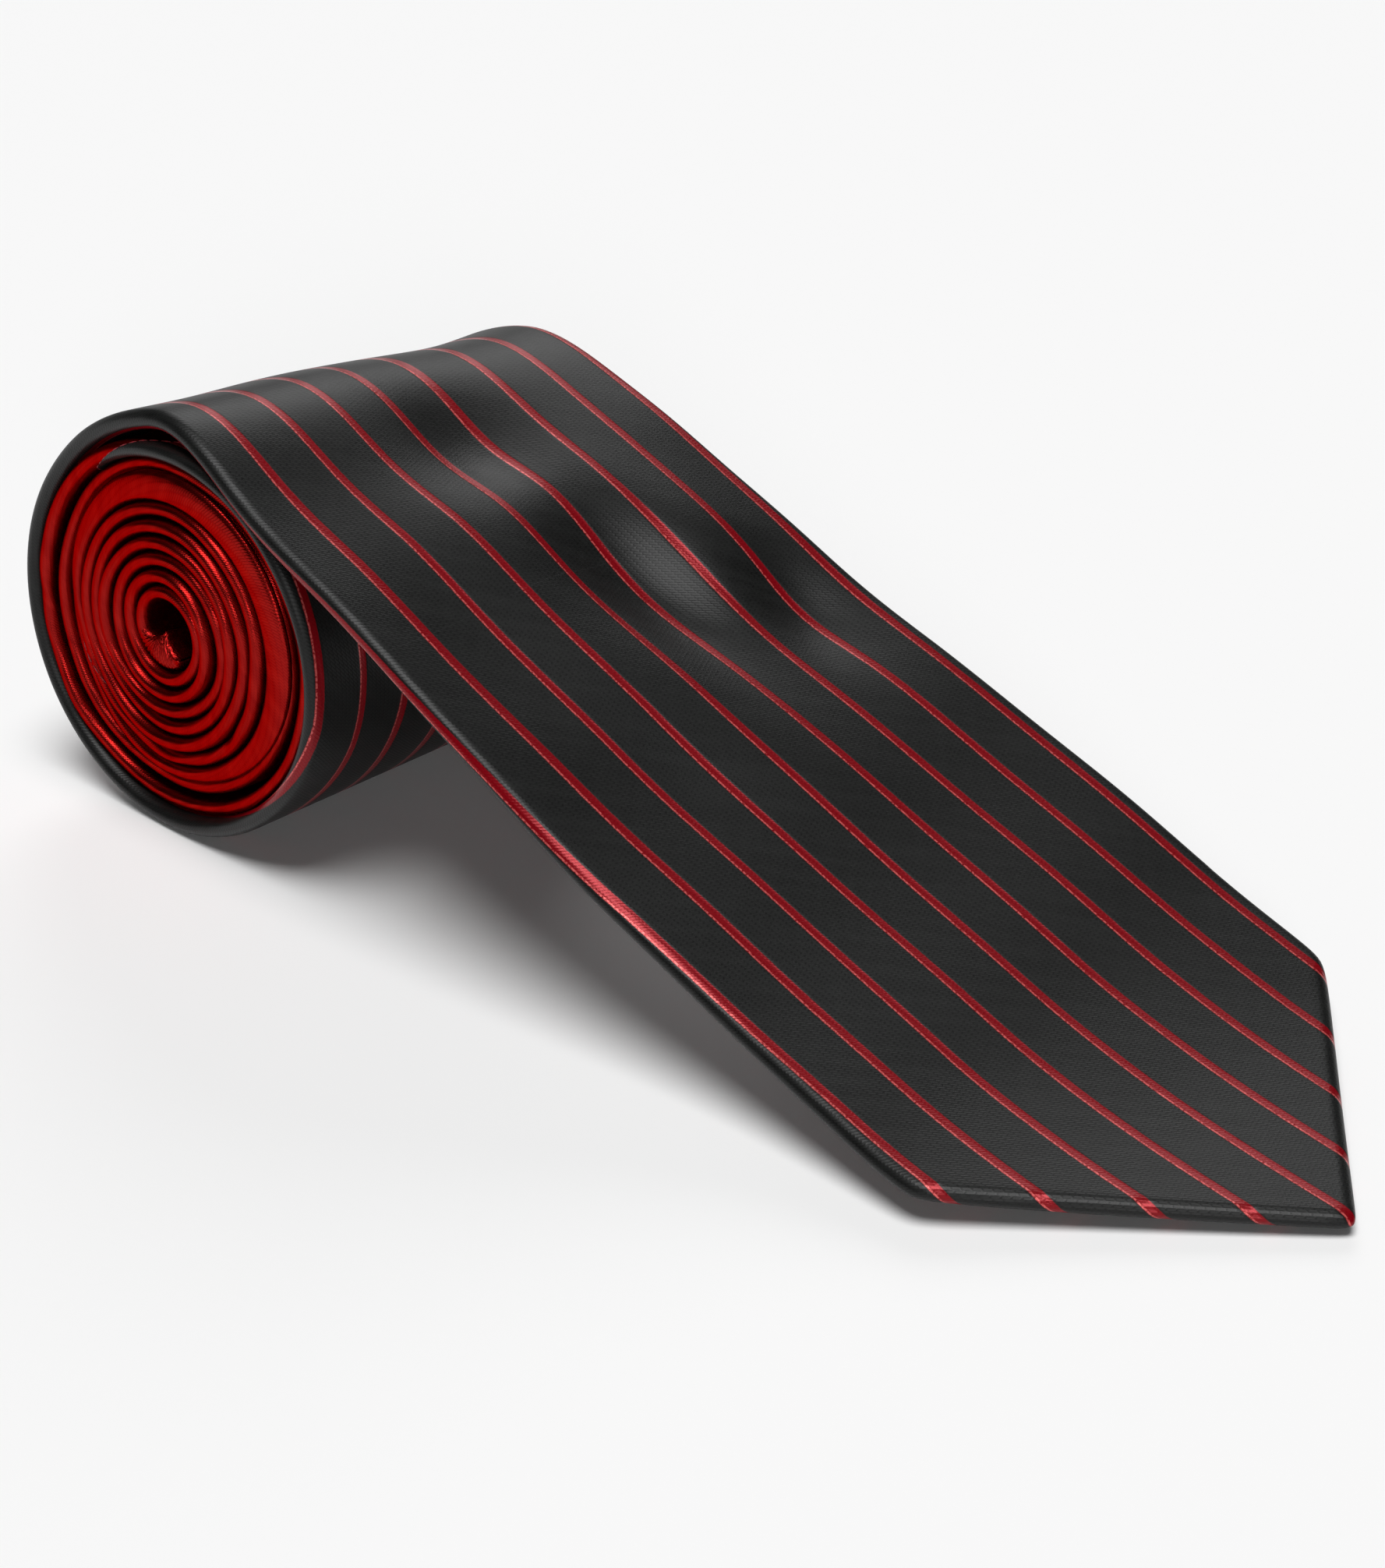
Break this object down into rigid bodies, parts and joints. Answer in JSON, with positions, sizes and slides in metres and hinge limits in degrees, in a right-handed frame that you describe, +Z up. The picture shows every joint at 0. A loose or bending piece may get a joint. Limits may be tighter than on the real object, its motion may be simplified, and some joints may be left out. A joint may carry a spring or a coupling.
{
  "type": "necktie",
  "caption": "Long pointed necktie of folded satin, rolled up from its tail, with the wide end free and its point resting on the floor.",
  "frame": {"origin": "middle of the overall box's footprint, on the floor", "axes": "+X along the free blade towards its point, +Y across the tie towards its far edge, +Z up"},
  "size_m": [0.222, 0.08, 0.0706],
  "materials": {
    "striped_black_satin": "black ribbed satin with narrow crimson lengthwise stripes",
    "red_satin": "plain crimson satin",
    "wool_interlining": "brushed wool interlining",
    "black_lining": "smooth black lining",
    "black_thread": "matt thread",
    "red_thread": "matt thread",
    "label_satin": "blank woven label"
  },
  "bodies": {
    "roll": {"blade_shell_rolled": "striped_black_satin", "blade_neck_seam": "red_thread", "neck_shell": "red_satin", "neck_tail_seam": "red_thread", "tail_shell": "red_satin", "interlining_rolled": "wool_interlining", "interlining_tail": "wool_interlining", "slip_stitch_rolled": "black_thread", "tail_tipping": "red_satin", "tail_bar_tack": "red_thread"},
    "blade": {"blade_shell_free": "striped_black_satin", "interlining_free": "wool_interlining", "slip_stitch_free": "black_thread", "keeper_tack_near": "black_thread", "keeper_tack_far": "black_thread", "label": "label_satin", "label_stitch_near": "black_thread", "label_stitch_far": "black_thread"},
    "tip": {"blade_shell_tip": "striped_black_satin", "interlining_tip": "wool_interlining", "blade_tipping": "black_lining", "blade_bar_tack": "black_thread"},
    "keeper": {"keeper_band": "striped_black_satin"}
  },
  "joints": [
    {"name": "blade_lift", "type": "hinge", "parent": "roll", "child": "blade", "pos_m": [-0.07552, 0, 0.07067], "axis": [0, -1, 0], "range_deg": [0, 70]},
    {"name": "tip_lift", "type": "hinge", "parent": "blade", "child": "tip", "pos_m": [0.01746, 0, 0.02839], "axis": [0, -1, 0], "range_deg": [0, 60]},
    {"name": "keeper_lift", "type": "slide", "parent": "blade", "child": "keeper", "axis": [-0.49, 0, -0.8717], "range_m": [0, 0.004]}
  ]
}
